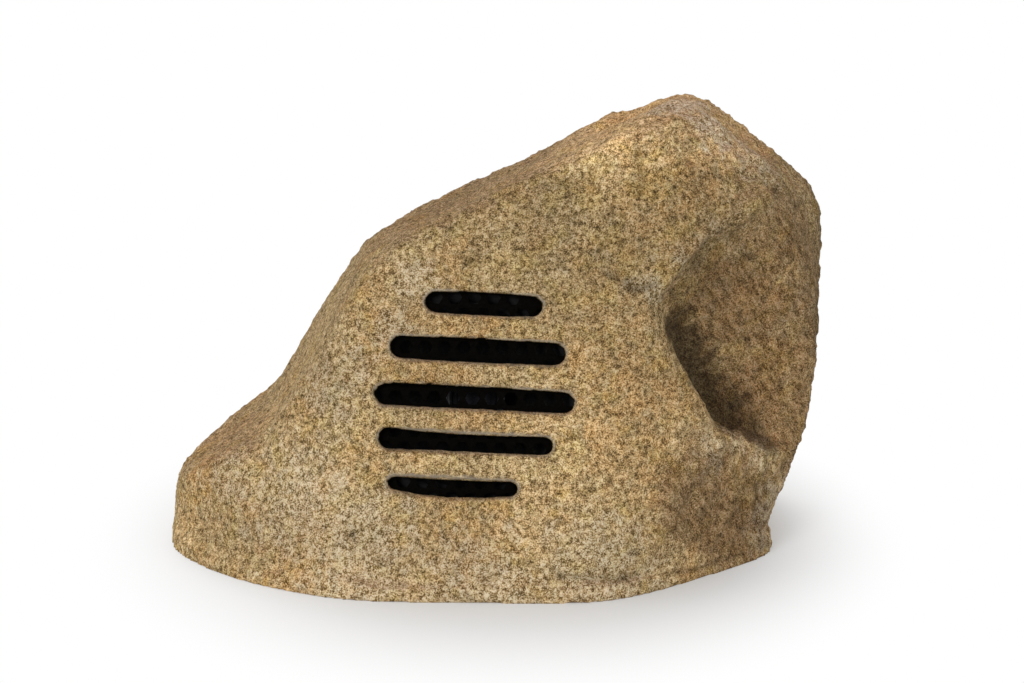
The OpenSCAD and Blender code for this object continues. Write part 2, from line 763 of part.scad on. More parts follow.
// Crossover board on standoffs over the base plate
board_at = [0, 58];
board_t = 1.6;
board_low = plate_lift + base_t + standoff_h;
board_high = board_low + board_t;
standoff_r = 4;
standoff_hole_r = 1.7;
board_screw_r = 1.4;
module at_standoffs() {
    for (i = [-1, 1]) for (j = [-1, 1])
        translate([board_at.x + i * (board_w / 2 - 6), board_at.y + j * (board_d / 2 - 6), 0]) children();
}
module on_board(x, y) {
    translate([board_at.x + x, board_at.y + y, board_high]) children();
}

module standoffs() {
    color("silver") at_standoffs()
        ring(standoff_r, standoff_hole_r, plate_lift + base_t, board_low);
}

module crossover_board() {
    color("seagreen") difference() {
        translate([board_at.x - board_w / 2, board_at.y - board_d / 2, board_low])
            cube([board_w, board_d, board_t]);
        at_standoffs() translate([0, 0, board_low - 1]) cylinder(r = standoff_hole_r, h = board_t + 2);
    }
}

// One screw through the board from above and one through the plate from below, at each standoff
module board_screws() {
    head_h = 1.8;
    color("silver") at_standoffs() {
        translate([0, 0, board_high - board_t - standoff_h / 2 + 0.5])
            cylinder(r = board_screw_r, h = standoff_h / 2 + board_t);
        translate([0, 0, board_high]) cylinder(r1 = 2.9, r2 = 2.3, h = head_h, $fn = 32);
        translate([0, 0, plate_lift - head_h]) cylinder(r1 = 2.3, r2 = 2.9, h = head_h, $fn = 32);
        translate([0, 0, plate_lift - 0.5])
            cylinder(r = board_screw_r, h = base_t + standoff_h / 2);
    }
}

// A wound bobbin standing on the board
module bobbin(r, h) {
    flange = 1.5;
    cylinder(r = r, h = flange, $fn = 48);
    translate([0, 0, flange]) cylinder(r = r - 1.5, h = h - 2 * flange, $fn = 48);
    translate([0, 0, h - flange]) cylinder(r = r, h = flange, $fn = 48);
}
module woofer_inductor() {
    color("chocolate") on_board(-36, 14) difference() {
        bobbin(19, 20);
        translate([0, 0, -1]) cylinder(r = 6, h = 22, $fn = 48);
    }
}
module tweeter_inductor() {
    color("chocolate") on_board(-30, -25) difference() {
        bobbin(12, 13);
        translate([0, 0, -1]) cylinder(r = 4, h = 15, $fn = 48);
    }
}

module capacitors() {
    color("gold") for (c = [[10, 24, 9, 34], [10, 4, 7, 28]])
        on_board(c.x - c[3] / 2, c.y) translate([0, 0, c[2]]) rotate([0, 90, 0])
            cylinder(r = c[2], h = c[3]);
}

module resistor() {
    size = [22, 9, 9];
    color("whitesmoke") on_board(2, -16) translate([0, -size.y / 2, 0]) cube(size);
}

// Two-way screw block for the cable's bare ends
module terminal_block() {
    size = [20, 14, 13];
    color("green") on_board(38, 12) difference() {
        cube(size);
        for (i = [0, 1]) translate([5 + 10 * i, size.y / 2, 4]) {
            translate([0, -1.5, 0]) cylinder(r = 2.2, h = size.z);
            translate([0, 0, -1]) rotate([-90, 0, 0]) cylinder(r = 2, h = size.y);
        }
    }
}

// Insulated leads from the board to the woofer's tags and up the tweeter's post
lead_r = 2;
module woofer_lead() {
    tag = front_point([strip_out - 3, -0.5 * tag_y, -driver_depth - strip_depth - strip_t - loose]);
    board = [board_at.x + 50, board_at.y - 26, board_high + loose];
    color("firebrick") lead(tag, -58 * front_n, board, [0, 0, 55], lead_r);
}
module tweeter_lead() {
    post = front_point([0, 0, -driver_depth - post_end - loose]);
    board = [board_at.x - 4, board_at.y - 30, board_high + loose];
    color("firebrick") lead(post, -48 * front_n, board, [0, 0, 45], lead_r);
}

// Cable gland: its body is screwed through the wall, and its cap squeezes the seal
gland_hex_r = 12.7;
gland_flange_t = 5;
gland_neck = 9;
gland_neck_r = 8.6;
seal_r = 6.2;
module gland_body() {
    stem = gland_wall + 7;
    color("black") on_gland() difference() {
        union() {
            translate([0, 0, -stem]) cylinder(r = gland_thread_r, h = stem + 1);
            cylinder(r = gland_hex_r, h = gland_flange_t, $fn = 6);
            cylinder(r = gland_neck_r, h = gland_flange_t + gland_neck);
        }
        translate([0, 0, -stem - 1])
            cylinder(r = cable_r + 1.4, h = stem + gland_flange_t + gland_neck + 2);
        translate([0, 0, gland_flange_t]) cylinder(r = seal_r + gap, h = gland_neck + 1);
    }
}
module gland_locknut() {
    nut_h = 5;
    color("black") on_gland() translate([0, 0, -gland_wall - nut_h]) difference() {
        cylinder(r = gland_hex_r, h = nut_h, $fn = 6);
        translate([0, 0, -1]) cylinder(r = gland_thread_r + gap, h = nut_h + 2);
    }
}
module gland_seal() {
    color("dimgray") on_gland() ring(seal_r, cable_r, gland_flange_t, gland_flange_t + gland_neck);
}
module gland_cap() {
    cap_r = 11.2;
    cap_floor = 3;
    low = gland_flange_t + 0.5;
    high = gland_flange_t + gland_neck + cap_floor;
    color("black") on_gland() difference() {
        union() {
            translate([0, 0, low]) cylinder(r = cap_r, h = high - low - 3);
            translate([0, 0, high - 3]) cylinder(r1 = cap_r, r2 = cap_r - 3.5, h = 3);
            for (i = [0:11]) rotate(30 * i) translate([cap_r - 0.6, -0.8, low])
                cube([1.1, 1.6, high - low - 4]);
        }
        translate([0, 0, low - 1]) cylinder(r = gland_neck_r + gap, h = high - low + 1 - cap_floor + 0.1);
        translate([0, 0, low]) cylinder(r = cable_r + 0.8, h = high - low + 1);
    }
}

rock_shell();
grille_screen();
driver_inserts();
driver_gasket();
driver_screws();
basket();
surround();
cone();
spider();
voice_coil_former();
voice_coil();
top_plate();
ring_magnet();
yoke();
terminal_strip();
terminal_tags();
tinsel_leads();
tweeter_post();
post_nut();
tweeter_housing();
tweeter_pot();
tweeter_magnet();
tweeter_plate();
tweeter_coil();
tweeter_dome();
tweeter_faceplate();
damping_pad();
base_plate();
base_gasket();
base_inserts();
base_screws();
standoffs();
crossover_board();
board_screws();
woofer_inductor();
tweeter_inductor();
capacitors();
resistor();
terminal_block();
woofer_lead();
tweeter_lead();
gland_body();
gland_locknut();
gland_seal();
gland_cap();
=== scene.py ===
# %% [markdown]
# # A garden rock loudspeaker
#
# The object is a hollow boulder, cast in stone and resin, with five sound slots in its leaning
# front and a round driver behind them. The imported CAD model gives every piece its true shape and
# place. This script dresses it: it roughens the cast skin, paints it with a sandstone finish, and
# gives each hidden piece the surface that it has on the real object.
#
# All lengths are in metres. The slots face -Y, +Z is up, and the ground is at zero.

import json
import math

import bmesh
import bpy
import numpy as np
from mathutils import Matrix, Vector, noise
from mathutils.bvhtree import BVHTree

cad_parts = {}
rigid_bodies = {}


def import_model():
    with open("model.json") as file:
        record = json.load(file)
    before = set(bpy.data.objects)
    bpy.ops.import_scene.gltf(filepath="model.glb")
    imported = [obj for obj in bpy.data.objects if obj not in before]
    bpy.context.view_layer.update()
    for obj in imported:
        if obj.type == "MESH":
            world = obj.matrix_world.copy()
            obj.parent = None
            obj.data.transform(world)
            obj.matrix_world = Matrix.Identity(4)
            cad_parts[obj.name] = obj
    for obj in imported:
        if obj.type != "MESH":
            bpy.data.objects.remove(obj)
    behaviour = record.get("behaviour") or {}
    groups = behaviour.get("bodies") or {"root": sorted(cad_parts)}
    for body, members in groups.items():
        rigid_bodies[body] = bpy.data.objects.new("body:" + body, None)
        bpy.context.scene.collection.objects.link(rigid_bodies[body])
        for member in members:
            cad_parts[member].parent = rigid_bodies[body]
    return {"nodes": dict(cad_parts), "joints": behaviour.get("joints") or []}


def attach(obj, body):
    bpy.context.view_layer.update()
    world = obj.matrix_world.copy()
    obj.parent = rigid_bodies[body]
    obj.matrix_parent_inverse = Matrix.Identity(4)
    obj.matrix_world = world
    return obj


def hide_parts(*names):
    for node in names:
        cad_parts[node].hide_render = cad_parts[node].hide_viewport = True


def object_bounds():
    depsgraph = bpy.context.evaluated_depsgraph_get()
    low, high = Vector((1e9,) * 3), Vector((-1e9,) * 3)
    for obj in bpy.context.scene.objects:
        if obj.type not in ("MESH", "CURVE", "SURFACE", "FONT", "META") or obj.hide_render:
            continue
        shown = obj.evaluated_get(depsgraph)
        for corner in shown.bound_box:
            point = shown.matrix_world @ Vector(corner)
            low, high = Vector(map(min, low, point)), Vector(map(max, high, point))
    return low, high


for leftover in list(bpy.data.objects):
    bpy.data.objects.remove(leftover)
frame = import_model()
box_at_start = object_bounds()
nodes = frame["nodes"]
print("CAD pieces:", len(nodes))

# %% [markdown]
# ## Small helpers for materials
#
# A material here is a short graph of nodes. Typing out every link would hide the idea, so small
# helpers do it. `add_node` adds a node and fills its sockets, with values or with links. `ramp`
# turns a number into a colour, `blend` mixes two colours, and `reckon` works out one number from
# two. Every pattern is measured on Object coordinates, so it stays on the piece when the piece
# moves and it doesn't need a UV map.

# %% Helpers for materials
def start_finish(name, colour=(0.5, 0.5, 0.5), roughness=0.6, metallic=0.0):
    material = bpy.data.materials.new(name)
    material.use_nodes = True
    shader = material.node_tree.nodes["Principled BSDF"]
    shader.inputs["Base Color"].default_value = (*colour, 1)
    shader.inputs["Roughness"].default_value = roughness
    shader.inputs["Metallic"].default_value = metallic
    return material, material.node_tree, shader


def add_node(tree, kind, sockets=None, **settings):
    node = tree.nodes.new(kind)
    for key, value in settings.items():
        setattr(node, key, value)
    for key, value in (sockets or {}).items():
        socket = node.inputs[key]
        if isinstance(value, bpy.types.NodeSocket):
            tree.links.new(value, socket)
        else:
            socket.default_value = value
    return node


def ramp(tree, factor, stops):
    node = add_node(tree, "ShaderNodeValToRGB", {"Fac": factor})
    elements = node.color_ramp.elements
    while len(elements) < len(stops):
        elements.new(0.5)
    for element, (place, colour) in zip(elements, stops):
        element.position = place
        element.color = (*colour, 1)
    return node.outputs["Color"]


def grey(level):
    return (level, level, level)


def blend(tree, factor, first, second, how="MIX"):
    node = add_node(tree, "ShaderNodeMix", data_type="RGBA", blend_type=how)
    for index, value in ((0, factor), (6, first), (7, second)):
        if isinstance(value, bpy.types.NodeSocket):
            tree.links.new(value, node.inputs[index])
        elif index == 0:
            node.inputs[index].default_value = value
        else:
            node.inputs[index].default_value = (*value, 1)
    return node.outputs[2]


def reckon(tree, operation, first, second):
    return add_node(tree, "ShaderNodeMath", {0: first, 1: second}, operation=operation).outputs[0]


def cloudy(tree, place, scale, detail=2.0, rough=0.5, twist=0.0):
    node = add_node(tree, "ShaderNodeTexNoise", {
        "Vector": place, "Scale": scale, "Detail": detail, "Roughness": rough,
        "Distortion": twist})
    return node.outputs["Fac"]


def object_place(tree):
    return add_node(tree, "ShaderNodeTexCoord").outputs["Object"]


def seen_directly(tree):
    """1 for the rays that show a surface to the camera, also in a mirror or through glass."""
    path = add_node(tree, "ShaderNodeLightPath")
    seen = reckon(tree, "MAXIMUM", path.outputs["Is Camera Ray"], path.outputs["Is Glossy Ray"])
    return reckon(tree, "MAXIMUM", seen, path.outputs["Is Transmission Ray"])


print("helpers ready")

# %% [markdown]
# ## The sandstone finish
#
# The real shell is cast in one mould, sprayed tan, and then spattered and sponged until it looks
# like sandstone worn by the weather. Close up it is a mass of pale, ochre and dark olive specks,
# about one to four millimetres wide. From further off, warm ochre clouds and chalky grey patches
# show. Faces that look up at the sky get a painted shade that makes them duller and browner.
#
# The specks come from the sum of two fine noises, which a ramp turns into grains from pitch to
# cream. Broader noises make blots and warm clouds. Six attributes that are painted on the mesh
# later say where the rock is rough, chalky, ochre and worn at the lips, and where shade and light
# are painted on: painted shade in hollows, on the upper front and inside the slots, and painted
# highlights in chalky spots at the foot, along a ridge and on the knob.
#
# Most of the steps multiply, because paint that is mixed in would hide the specks beneath it.

# %% Sandstone colours and noises
PITCH = (0.075, 0.045, 0.016)
OLIVE = (0.222, 0.146, 0.058)
TAN = (0.385, 0.262, 0.122)
STRAW = (0.565, 0.415, 0.205)
CREAM = (0.760, 0.610, 0.390)
# Pale chalky colour, also used as painted highlight at the foot, along a ridge and on the knob
CHALK_AND_HIGHLIGHT = (0.62, 0.56, 0.44)
LIP = (0.270, 0.235, 0.185)
# Near-black painted shade for the dark inside of the slots and of the hollow
INSIDE_SHADE = (0.0030, 0.0026, 0.0020)
# Tints, which multiply what is below them
OCHRE = (0.92, 0.68, 0.42)
# A redder tint that is partly painted shade, for the hollow's back and the lower right
RUSSET_AND_SHADE = (0.78, 0.71, 0.70)
# Painted shade for faces that look up, duller and browner
UPWARD_SHADE = (0.81, 0.74, 0.74)
# Painted shade, for the groove, the lower right and the upper front
SHADE = (0.16, 0.145, 0.12)
REDDISH = (1.02, 0.97, 0.92)
YELLOWISH = (1.0, 1.0, 0.84)

# Each noise: scale, detail, roughness, distortion
NOISES = {
    "grain": (880, 2.0, 0.75, 0.2),
    "coarse": (260, 2.0, 0.60, 0.3),
    "blots": (95, 3.0, 0.65, 0.6),
    "tint": (52, 3.0, 0.65, 0.4),
    "cloud": (26, 3.0, 0.60, 0.4),
    "broad": (8, 3.0, 0.55, 0.3)}
STROKE_NOISE = (260, 2.0, 0.60, 0.4)
STROKE_TURN = math.radians(54)
STROKE_STRETCH = (2.6, 1.6, 1.0)
GRAIN_SHARE = 0.62
# Painted light and shade by height above the ground: the foot is painted paler, as if lit
# from the floor, the shoulder darker, and the knob paler.
# A ramp runs from 0 to 1, so the height is multiplied to use more of it.
HEIGHT_SCALE = 2.5
LIGHT_AND_SHADE_BY_HEIGHT = [(0.02, 1.15), (0.12, 1.0), (0.35, 0.97), (0.62, 0.80), (0.76, 0.90), (0.80, 1.30)]
BUMP_DEPTH = 0.0017
ROUGH_BUMP_DEPTH = 0.0034
print("sandstone noises:", len(NOISES) + 1)

# %% [markdown]
# The finish is built in four steps: the specks themselves, the broad colours over them, the weather
# and paint with painted light and shade that lie on top, and last the relief that catches the light.

# %% Sandstone finish
def painted(tree, name):
    return add_node(tree, "ShaderNodeAttribute", attribute_name=name).outputs["Fac"]


def greys(tree, factor, stops):
    return ramp(tree, factor, [(place, grey(level)) for place, level in stops])


def speck_noises(tree, place):
    """All the noises. On rough parts the coarse one becomes strokes, like those of a brush."""
    noises = {name: cloudy(tree, place, *values) for name, values in NOISES.items()}
    turned = add_node(tree, "ShaderNodeMapping", {
        "Vector": place, "Rotation": (0, STROKE_TURN, 0), "Scale": STROKE_STRETCH},
        vector_type="TEXTURE")
    strokes = cloudy(tree, turned.outputs["Vector"], *STROKE_NOISE)
    noises["coarse"] = add_node(tree, "ShaderNodeMix", {
        0: painted(tree, "rough"), 2: noises["coarse"], 3: strokes}).outputs[0]
    noises["specks"] = reckon(
        tree, "ADD", reckon(tree, "MULTIPLY", noises["grain"], GRAIN_SHARE),
        reckon(tree, "MULTIPLY", noises["coarse"], 1 - GRAIN_SHARE))
    return noises


def broad_colours(tree, noises):
    """Specks, darker blots, warm clouds, a shift of hue, and on rough parts a redder tint that is
    partly painted shade.
    """
    colour = ramp(tree, noises["specks"], [
        (0.39, PITCH), (0.446, OLIVE), (0.495, TAN), (0.543, STRAW), (0.61, CREAM)])
    tone = greys(tree, noises["blots"], [(0.34, 0.76), (0.50, 0.98), (0.66, 1.10)])
    colour = blend(tree, 1.0, colour, tone, "MULTIPLY")
    warm = greys(tree, noises["cloud"], [(0.44, 0), (0.64, 1)])
    warm = reckon(tree, "MAXIMUM", reckon(tree, "MULTIPLY", warm, 0.45),
                  reckon(tree, "MULTIPLY", painted(tree, "ochre"), 0.9))
    patchy = greys(tree, noises["blots"], [(0.38, 0.3), (0.58, 1)])
    colour = blend(tree, reckon(tree, "MULTIPLY", warm, patchy), colour, OCHRE, "MULTIPLY")
    hue = ramp(tree, noises["tint"], [(0.36, REDDISH), (0.50, grey(1.0)), (0.64, YELLOWISH)])
    colour = blend(tree, 1.0, colour, hue, "MULTIPLY")
    # On rough parts a redder tint, partly painted shade
    return blend(tree, painted(tree, "rough"), colour, RUSSET_AND_SHADE, "MULTIPLY")


def weathering_and_painted_light(tree, place, noises, colour):
    """Chalk that is partly painted highlight, painted shade on faces that look up, painted light and
    shade by height, painted shade, worn lips, and near-black painted shade inside.
    """
    # Chalky patches, partly painted highlight
    bare = greys(tree, noises["specks"], [(0.46, 0), (0.58, 1)])
    colour = blend(tree, reckon(tree, "MULTIPLY", painted(tree, "chalk_and_highlight"), bare), colour, CHALK_AND_HIGHLIGHT)

    facing = add_node(tree, "ShaderNodeNewGeometry").outputs["Normal"]
    upward = add_node(tree, "ShaderNodeSeparateXYZ", {0: facing}).outputs["Z"]
    # Painted shade: faces that look up are made duller and browner
    shaded_upward = greys(tree, upward, [(0.52, 0), (0.84, 1)])
    colour = blend(tree, shaded_upward, colour, UPWARD_SHADE, "MULTIPLY")

    height = add_node(tree, "ShaderNodeSeparateXYZ", {0: place}).outputs["Z"]
    # Painted light and shade by height: paler at the foot and the knob, darker at the shoulder
    light_and_shade_by_height = greys(tree, reckon(tree, "MULTIPLY", height, HEIGHT_SCALE), LIGHT_AND_SHADE_BY_HEIGHT)
    colour = blend(tree, 1.0, colour, light_and_shade_by_height, "MULTIPLY")
    uneven = greys(tree, noises["broad"], [(0.36, 0.80), (0.64, 1.04)])
    colour = blend(tree, 1.0, colour, uneven, "MULTIPLY")
    # Painted shade in the groove, at the lower right, on the upper front and in cracks and pits, and
    # the slots' dark hem
    colour = blend(tree, painted(tree, "shade"), colour, SHADE, "MULTIPLY")

    chipped = greys(tree, noises["specks"], [(0.40, 1.0), (0.50, 0.80), (0.60, 0.45)])
    worn = reckon(tree, "MULTIPLY", painted(tree, "lip"), chipped)
    colour = blend(tree, worn, colour, LIP)
    # Near-black painted shade inside the slots and the hollow
    return blend(tree, painted(tree, "inside_shade"), colour, INSIDE_SHADE)


def stone_relief(tree, noises):
    relief = reckon(
        tree, "ADD", reckon(tree, "MULTIPLY", noises["grain"], 0.6), noises["coarse"])
    relief = reckon(tree, "ADD", relief, reckon(tree, "MULTIPLY", noises["blots"], 0.8))
    depth = reckon(tree, "MULTIPLY", painted(tree, "rough"), ROUGH_BUMP_DEPTH)
    depth = reckon(tree, "ADD", depth, BUMP_DEPTH)
    bump = add_node(tree, "ShaderNodeBump", {"Height": relief, "Strength": 0.85, "Distance": depth})
    return bump.outputs["Normal"]


def sandstone_finish():
    material, tree, shader = start_finish("sandstone finish", TAN, 0.92)
    place = object_place(tree)
    noises = speck_noises(tree, place)
    colour = weathering_and_painted_light(tree, place, noises, broad_colours(tree, noises))
    tree.links.new(colour, shader.inputs["Base Color"])
    tree.links.new(stone_relief(tree, noises), shader.inputs["Normal"])
    # No shine on the near-black painted shade
    shine = greys(tree, painted(tree, "inside_shade"), [(0.0, 0.18), (0.6, 0.0)])
    tree.links.new(shine, shader.inputs["Specular IOR Level"])
    return material


sandstone = sandstone_finish()
print("made", sandstone.name)

# %% [markdown]
# ## The front frame
#
# The slots follow the leaning front of the rock and not the world's axes. A small frame with its
# own right, up and out directions makes it easy to say how far any point is from a slot. The cone
# moves straight out of the front, so the axis of its joint gives the outward direction.

# %% Front frame and slots
# The middle of the slots, on the outer skin
FRONT = Vector((-0.019, -0.14833, 0.147))
cone_axis = next(joint["axis"] for joint in frame["joints"] if joint["name"] == "cone_travel")
OUT = Vector(cone_axis).normalized()
RIGHT = Vector((-OUT.y, OUT.x, 0.0)).normalized()
UP = OUT.cross(RIGHT).normalized()
# The slots are cast a little askew in that frame
LEAN = math.radians(1.8)
# Each slot: place across, place up, length, mean height
SLOTS = [
    (0.0056, 0.071, 0.088, 0.0148), (0.0028, 0.036, 0.132, 0.0158), (0.002, 0.0, 0.150, 0.0150),
    (-0.003, -0.033, 0.131, 0.0125), (-0.011, -0.0665, 0.098, 0.0112)]


def on_front(points):
    local = points - np.array(FRONT)
    x, y, z = local @ np.array(RIGHT), local @ np.array(UP), local @ np.array(OUT)
    c, s = math.cos(LEAN), math.sin(LEAN)
    return np.stack([c * x - s * y, s * x + c * y, z], axis=1)


def slot_distance(flat):
    """How far each point is outside the nearest slot, and whether it is above that slot."""
    nearest = np.full(len(flat), 1.0)
    above = np.zeros(len(flat))
    for x, y, length, height in SLOTS:
        reach = length / 2 - height / 2
        dx = np.maximum(np.abs(flat[:, 0] - x) - reach, 0)
        dy = flat[:, 1] - y
        gap = np.hypot(dx, dy) - height / 2
        closer = gap < nearest
        above = np.where(closer, np.clip(dy / (height / 2), -1, 1), above)
        nearest = np.where(closer, gap, nearest)
    return nearest, above


print("slots:", len(SLOTS))

# %% [markdown]
# ## The cast rock
#
# CAD made the rock from flat facets with softened edges, so its outline and its slots are right,
# but its skin is too clean. On the real rock the mould keeps the grain of the boulder that it was
# taken from. The way here is the one that a sculptor uses on a computer: copy the CAD mesh, give
# it an even skin of small faces with a voxel remesh, and push each point in or out, by the marks
# and the noise of the next steps.
#
# Only the outer skin is roughened. Points of the inner skin are found by looking outwards: if
# there is more rock in the way, the point lies inside. The inner skin is then thinned, because
# nobody sees its small faces.

# %% Even skin for the rock
VOXEL = 0.0024
MERGE_GAP = 0.00001


def merged_copy(node, name):
    mesh = bmesh.new()
    mesh.from_mesh(nodes[node].data)
    bmesh.ops.remove_doubles(mesh, verts=mesh.verts, dist=MERGE_GAP)
    data = bpy.data.meshes.new(name)
    mesh.to_mesh(data)
    mesh.free()
    piece = bpy.data.objects.new(name, data)
    bpy.context.scene.collection.objects.link(piece)
    return piece


def bake_modifiers(piece):
    graph = bpy.context.evaluated_depsgraph_get()
    graph.update()
    data = bpy.data.meshes.new_from_object(piece.evaluated_get(graph))
    piece.modifiers.clear()
    old = piece.data
    piece.data = data
    bpy.data.meshes.remove(old)


rock = merged_copy("rock_shell", "rock_skin")
remesh = rock.modifiers.new("even skin", "REMESH")
remesh.mode = "VOXEL"
remesh.voxel_size = VOXEL
remesh.use_smooth_shade = True
bake_modifiers(rock)
print("even skin:", len(rock.data.vertices), "points")


# %% Find the outer skin and thin the inner one
# The point on the ground that all facets of the rock face away from
CORE = Vector((-0.00094, 0.00086, 0.0))
CLEAR_OF_SKIN = 0.0012
LONGEST_LOOK = 0.6
ALMOST_FLAT = math.radians(14)


def points_of(data):
    flat = np.empty(len(data.vertices) * 3)
    data.vertices.foreach_get("co", flat)
    return flat.reshape(-1, 3)


def normals_of(data):
    flat = np.empty(len(data.vertices) * 3)
    data.vertex_normals.foreach_get("vector", flat)
    return flat.reshape(-1, 3)


def outer_share(piece):
    """1 for points of the outer skin and 0 for the inner skin."""
    tree = BVHTree.FromPolygons(
        [v.co for v in piece.data.vertices], [p.vertices[:] for p in piece.data.polygons])
    share = np.zeros(len(piece.data.vertices))
    for vertex in piece.data.vertices:
        way = (vertex.co - CORE).normalized()
        hit = tree.ray_cast(vertex.co + way * CLEAR_OF_SKIN, way, LONGEST_LOOK)[0]
        share[vertex.index] = 0.0 if hit is not None else 1.0
    return share


def thin_inner_skin(piece, share):
    """Melts the small faces of the inner skin into large flat ones. No point moves."""
    mesh = bmesh.new()
    mesh.from_mesh(piece.data)
    mesh.verts.ensure_lookup_table()
    inner = {v for v in mesh.verts if share[v.index] < 0.5}
    deep = [v for v in inner if all(e.other_vert(v) in inner for e in v.link_edges)]
    within = set(deep)
    edges = [e for e in mesh.edges if e.verts[0] in within and e.verts[1] in within]
    bmesh.ops.dissolve_limit(
        mesh, angle_limit=ALMOST_FLAT, verts=deep, edges=edges, use_dissolve_boundaries=False)
    bmesh.ops.triangulate(mesh, faces=[f for f in mesh.faces if len(f.verts) > 4])
    mesh.to_mesh(piece.data)
    mesh.free()


outside = outer_share(rock)
thin_inner_skin(rock, outside)
outside = outer_share(rock)
count = sum(len(p.vertices) - 2 for p in rock.data.polygons)
print("rock skin:", count, "triangles,", int(outside.sum()), "points outside")

# %% [markdown]
# ## Marks of the mould
#
# Some marks are at the same place on each rock from this mould. A fold is a ridge (or, with a
# negative height, a crack or a dent) along a line of points. A pit is a small round hole. Both fade
# out softly at their sides, and cracks and pits are also painted darker, a painted shade in their
# hollows. Their places were chosen in the photograph, and the points were then looked up on the
# CAD skin.

# %% Folds and pits of the mould
# Each fold: height, half width, points along it
FOLDS = [
    (0.0068, 0.0080, [(0.122, -0.130, 0.231), (0.136, -0.121, 0.249), (0.152, -0.113, 0.262),
                      (0.167, -0.103, 0.271), (0.186, -0.093, 0.278), (0.205, -0.079, 0.286)]),
    (-0.0026, 0.0034, [(0.106, -0.107, 0.330), (0.108, -0.112, 0.316), (0.110, -0.116, 0.303)]),
    (-0.0022, 0.0028, [(0.082, -0.131, 0.239), (0.094, -0.133, 0.235), (0.103, -0.135, 0.227),
                       (0.116, -0.132, 0.230)]),
    (-0.0020, 0.0030, [(0.047, -0.186, 0.020), (0.093, -0.176, 0.015), (0.148, -0.141, 0.009),
                       (0.189, -0.103, 0.008), (0.214, -0.072, 0.007)]),
    (-0.0066, 0.0170, [(0.180, -0.026, 0.337), (0.191, -0.026, 0.328), (0.203, -0.020, 0.319)]),
    (-0.0062, 0.0150, [(0.082, 0.020, 0.326), (0.097, 0.020, 0.331), (0.110, 0.003, 0.339)]),
    (-0.0030, 0.0110, [(0.155, -0.136, 0.080), (0.147, -0.141, 0.061), (0.136, -0.148, 0.044)]),
    (0.0026, 0.0080, [(0.170, -0.122, 0.105), (0.147, -0.142, 0.081), (0.130, -0.152, 0.053),
                      (0.116, -0.162, 0.032)]),
    (-0.0030, 0.0090, [(-0.194, -0.060, 0.100), (-0.180, -0.115, 0.093), (-0.173, -0.126, 0.077)])]
PITS = [
    (0.133, -0.115, 0.220), (0.134, -0.114, 0.301), (0.215, -0.062, 0.291),
    (0.232, -0.048, 0.275), (0.036, -0.122, 0.263), (-0.020, -0.123, 0.246),
    (0.077, -0.126, 0.256), (-0.133, -0.147, 0.091), (-0.099, -0.157, 0.094),
    (-0.109, -0.168, 0.046), (0.047, -0.175, 0.060), (0.085, -0.168, 0.089),
    (-0.189, -0.131, 0.030), (0.154, -0.109, 0.252), (0.194, -0.086, 0.240),
    (0.107, -0.126, 0.264), (0.146, -0.098, 0.319)]
PIT_RADIUS = 0.0030
PIT_DEPTH = 0.0018
# A fold that goes in and is narrower than this is a crack
CRACK_WIDTH = 0.005
# How dark the painted shade in cracks and pits is
CRACK_SHADE = 0.55
PIT_SHADE = 0.7


def from_line(points, line):
    """The distance of each point from a line of straight pieces."""
    nearest = np.full(len(points), 1.0)
    for start, end in zip(np.array(line[:-1]), np.array(line[1:])):
        along = end - start
        share = np.clip((points - start) @ along / (along @ along), 0, 1)
        nearest = np.minimum(
            nearest, np.linalg.norm(points - start - share[:, None] * along, axis=1))
    return nearest


def mould_marks(points):
    """How far the marks push each point out, and how much shade is painted into their cracks and
    pits.
    """
    push, dark = np.zeros(len(points)), np.zeros(len(points))
    for height, width, line in FOLDS:
        bell = np.exp(-(from_line(points, line) / width) ** 2)
        push += height * bell
        if height < 0 and width < CRACK_WIDTH:
            dark = np.maximum(dark, CRACK_SHADE * bell)
    for pit in PITS:
        bell = np.exp(-(np.linalg.norm(points - np.array(pit), axis=1) / PIT_RADIUS) ** 2)
        push -= PIT_DEPTH * bell
        dark = np.maximum(dark, PIT_SHADE * bell)
    return push, dark


print("folds:", len(FOLDS), "pits:", len(PITS))

# %% [markdown]
# ## Swells, lumps and grit
#
# Three layers of noise roughen the outer skin: broad swells that break up the flat facets, lumps
# of a few millimetres, and grit. The lumps are higher on the right flank and on faces that look up.
# All layers fade out at the foot, so the rock still stands flat, and in the recess of the cable
# gland. Inside the slots they are lower, as the cast edge is smoother there.

# %% Roughen the outer skin
SWELL_HEIGHT = 0.0014
LUMP_HEIGHT = 0.0010
GRIT_HEIGHT = 0.0007
# The skin is set in by this much, which keeps most of the grit within the CAD skin
SINK = 0.0004
MARK_WANDER = 0.0012
# Points between these distances from the front's plane count as near the slots
SLOT_DEPTH = (-0.016, 0.020)
SLOT_CALM_REACH = 0.007
# The recess of the cable gland, in the back: place across and up, and where its edge fades
RECESS = (0.070, 0.046)
RECESS_EDGE = (0.018, 0.023)
BACK_STARTS = 0.12


def soften(value, low, high):
    t = np.clip((value - low) / (high - low), 0, 1)
    return t * t * (3 - 2 * t)


def layer(points, scale, octaves, seed):
    shift = Vector((seed, seed * 1.7, seed * 0.6))
    return np.array([noise.fractal(Vector(p) * scale + shift, 0.9, 2.1, octaves) for p in points])


points = points_of(rock.data)
normals = normals_of(rock.data)
flat = on_front(points)
gap, above = slot_distance(flat)
near_face = (flat[:, 2] > SLOT_DEPTH[0]) & (flat[:, 2] < SLOT_DEPTH[1])
gap = np.where(near_face, gap, 1.0)

back_gap = np.hypot(points[:, 0] - RECESS[0], points[:, 2] - RECESS[1])
recess = np.where(points[:, 1] > BACK_STARTS, soften(back_gap, *RECESS_EDGE), 1.0)
grip = outside * soften(points[:, 2], 0.001, 0.006) * recess
calm = soften(gap, 0.0, SLOT_CALM_REACH)

